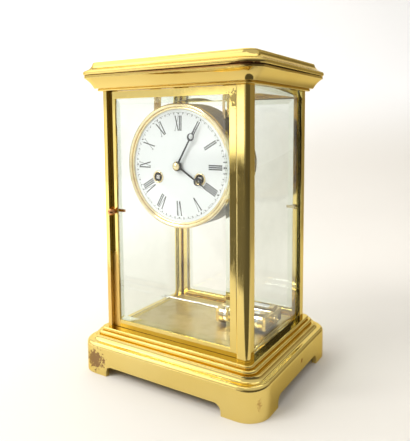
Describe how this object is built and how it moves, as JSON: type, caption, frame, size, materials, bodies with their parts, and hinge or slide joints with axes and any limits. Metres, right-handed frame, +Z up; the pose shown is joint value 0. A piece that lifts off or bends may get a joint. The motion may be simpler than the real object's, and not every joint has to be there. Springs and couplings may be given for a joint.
{
  "type": "crystal regulator clock",
  "caption": "Free-standing four-glass mantel clock: gilt brass case with hinged bevelled-glass doors, enamel dial, moon hands, open striking movement and loose pendulum.",
  "frame": {"origin": "under the middle of the plinth, on the plane its feet stand on", "axes": "+Z up, the dial and the front door face -Y, +X to the right seen from the front"},
  "size_m": [0.1734, 0.1458, 0.262],
  "materials": {
    "gilt_brass": "polished",
    "floor_brass": "satin",
    "movement_brass": "brushed",
    "wheel_brass": "satin",
    "steel": "polished",
    "bell_steel": "satin",
    "black_steel": "gloss",
    "clear_glass": "polished, bevelled",
    "enamel": "glossy white",
    "silvered": "polished"
  },
  "bodies": {
    "case": {"plinth": "gilt_brass", "floor_plate": "floor_brass", "front_left_post": "gilt_brass", "front_right_post": "gilt_brass", "rear_left_post": "gilt_brass", "rear_right_post": "gilt_brass", "left_glass": "clear_glass", "right_glass": "clear_glass", "cornice": "gilt_brass", "top_lid": "gilt_brass", "case_screws": "steel", "door_stops": "gilt_brass", "hinge_pins": "gilt_brass", "movement_brackets": "movement_brass", "movement_screws": "steel", "front_plate": "movement_brass", "back_plate": "movement_brass", "plate_pillars": "movement_brass", "pillar_nuts": "steel", "dial": "enamel", "bezel": "gilt_brass", "winding_grommets": "gilt_brass", "minute_wheel_cock": "movement_brass", "suspension_cock": "movement_brass", "suspension_spring": "steel", "bell_stand": "movement_brass", "bell": "bell_steel", "bell_nut": "movement_brass"},
    "front_door": {"front_door_frame": "gilt_brass", "front_door_glass": "clear_glass"},
    "front_latch": {"front_latch": "gilt_brass"},
    "rear_door": {"rear_door_frame": "gilt_brass", "rear_door_glass": "clear_glass"},
    "rear_latch": {"rear_latch": "gilt_brass"},
    "minute_set": {"minute_hand": "black_steel", "hand_nut": "gilt_brass", "cannon_pinion": "steel"},
    "hour_set": {"hour_hand": "black_steel", "hour_wheel": "wheel_brass"},
    "minute_wheel": {"minute_wheel": "wheel_brass"},
    "going_barrel": {"going_barrel": "wheel_brass"},
    "intermediate_wheel": {"intermediate_wheel": "wheel_brass"},
    "centre_wheel": {"centre_wheel": "wheel_brass"},
    "third_wheel": {"third_wheel": "wheel_brass"},
    "escape_wheel": {"escape_wheel": "wheel_brass"},
    "going_winding": {"going_winding_arbor": "steel"},
    "going_click": {"going_click": "steel"},
    "strike_barrel": {"strike_barrel": "wheel_brass"},
    "pin_wheel": {"pin_wheel": "wheel_brass"},
    "warning_wheel": {"warning_wheel": "wheel_brass"},
    "strike_fly": {"strike_fly": "wheel_brass"},
    "strike_winding": {"strike_winding_arbor": "steel"},
    "strike_click": {"strike_click": "steel"},
    "anchor": {"pallet_anchor": "steel", "crutch": "steel"},
    "hammer": {"strike_hammer": "steel"},
    "pendulum": {"pendulum_rod": "steel", "pendulum_stirrup": "wheel_brass", "pendulum_vials": "silvered", "rating_nut": "wheel_brass"}
  },
  "joints": [
    {"name": "front_door_swing", "type": "hinge", "parent": "case", "child": "front_door", "pos_m": [0.0572, -0.0499, 0], "axis": [0, 0, 1], "range_deg": [0, 88]},
    {"name": "front_latch_turn", "type": "hinge", "parent": "front_door", "child": "front_latch", "pos_m": [-0.06025, -0.0499, 0.1371], "axis": [0, 1, 0], "range_deg": [0, 90]},
    {"name": "rear_door_swing", "type": "hinge", "parent": "case", "child": "rear_door", "pos_m": [-0.0572, 0.0499, 0], "axis": [0, 0, 1], "range_deg": [0, 88]},
    {"name": "rear_latch_turn", "type": "hinge", "parent": "rear_door", "child": "rear_latch", "pos_m": [0.06025, 0.0499, 0.1371], "axis": [0, -1, 0], "range_deg": [0, 90]},
    {"name": "minute_hand_turn", "type": "hinge", "parent": "case", "child": "minute_set", "pos_m": [0, 0, 0.1773], "axis": [0, 1, 0], "continuous": true},
    {"name": "minute_wheel_turn", "type": "hinge", "parent": "case", "child": "minute_wheel", "pos_m": [0, 0, 0.1677], "axis": [0, 1, 0], "continuous": true},
    {"name": "hour_hand_turn", "type": "hinge", "parent": "case", "child": "hour_set", "pos_m": [0, 0, 0.1773], "axis": [0, 1, 0], "continuous": true},
    {"name": "escape_wheel_turn", "type": "hinge", "parent": "case", "child": "escape_wheel", "pos_m": [0, 0, 0.19822], "axis": [0, 1, 0], "continuous": true},
    {"name": "third_wheel_turn", "type": "hinge", "parent": "case", "child": "third_wheel", "pos_m": [-0.00683, 0, 0.18912], "axis": [0, 1, 0], "continuous": true},
    {"name": "centre_wheel_turn", "type": "hinge", "parent": "case", "child": "centre_wheel", "pos_m": [0, 0, 0.1773], "axis": [0, 1, 0], "continuous": true},
    {"name": "intermediate_wheel_turn", "type": "hinge", "parent": "case", "child": "intermediate_wheel", "pos_m": [0.01356, 0, 0.18572], "axis": [0, 1, 0], "continuous": true},
    {"name": "going_barrel_turn", "type": "hinge", "parent": "case", "child": "going_barrel", "pos_m": [0.0202, 0, 0.1677], "axis": [0, 1, 0], "continuous": true},
    {"name": "strike_fly_turn", "type": "hinge", "parent": "case", "child": "strike_fly", "pos_m": [-0.01374, 0, 0.20875], "axis": [0, 1, 0], "continuous": true},
    {"name": "warning_wheel_turn", "type": "hinge", "parent": "case", "child": "warning_wheel", "pos_m": [-0.01633, 0, 0.19908], "axis": [0, 1, 0], "continuous": true},
    {"name": "pin_wheel_turn", "type": "hinge", "parent": "case", "child": "pin_wheel", "pos_m": [-0.02353, 0, 0.18661], "axis": [0, 1, 0], "continuous": true},
    {"name": "strike_barrel_turn", "type": "hinge", "parent": "case", "child": "strike_barrel", "pos_m": [-0.0202, 0, 0.1677], "axis": [0, 1, 0], "continuous": true},
    {"name": "going_winding_turn", "type": "hinge", "parent": "case", "child": "going_winding", "pos_m": [0.0202, 0, 0.1677], "axis": [0, 1, 0], "continuous": true},
    {"name": "going_click_swing", "type": "hinge", "parent": "case", "child": "going_click", "pos_m": [0.0292, 0, 0.1767], "axis": [0, 1, 0], "range_deg": [0, 12]},
    {"name": "strike_winding_turn", "type": "hinge", "parent": "case", "child": "strike_winding", "pos_m": [-0.0202, 0, 0.1677], "axis": [0, 1, 0], "continuous": true},
    {"name": "strike_click_swing", "type": "hinge", "parent": "case", "child": "strike_click", "pos_m": [-0.0292, 0, 0.1767], "axis": [0, 1, 0], "range_deg": [-12, 0]},
    {"name": "anchor_swing", "type": "hinge", "parent": "case", "child": "anchor", "pos_m": [0, 0, 0.21122], "axis": [0, 1, 0], "range_deg": [-4, 4]},
    {"name": "hammer_swing", "type": "hinge", "parent": "case", "child": "hammer", "pos_m": [-0.02796, 0, 0.14982], "axis": [0, 1, 0], "range_deg": [-12, 0], "stiffness_Nm_per_rad": 0.01, "springref_deg": 5.73},
    {"name": "pendulum_lift", "type": "slide", "parent": "case", "child": "pendulum", "axis": [0, 0, 1], "range_m": [0, 0.07]}
  ],
  "couplings": [
    {"joint": "minute_wheel_turn", "follows": "minute_hand_turn", "ratio": -0.33333},
    {"joint": "hour_hand_turn", "follows": "minute_hand_turn", "ratio": 0.083333},
    {"joint": "third_wheel_turn", "follows": "escape_wheel_turn", "ratio": -0.083333},
    {"joint": "centre_wheel_turn", "follows": "escape_wheel_turn", "ratio": 0.0069444},
    {"joint": "intermediate_wheel_turn", "follows": "escape_wheel_turn", "ratio": -0.0011574},
    {"joint": "going_barrel_turn", "follows": "escape_wheel_turn", "ratio": 0.00016534},
    {"joint": "warning_wheel_turn", "follows": "strike_fly_turn", "ratio": -0.1},
    {"joint": "pin_wheel_turn", "follows": "strike_fly_turn", "ratio": 0.011111},
    {"joint": "strike_barrel_turn", "follows": "strike_fly_turn", "ratio": -0.0015873}
  ]
}
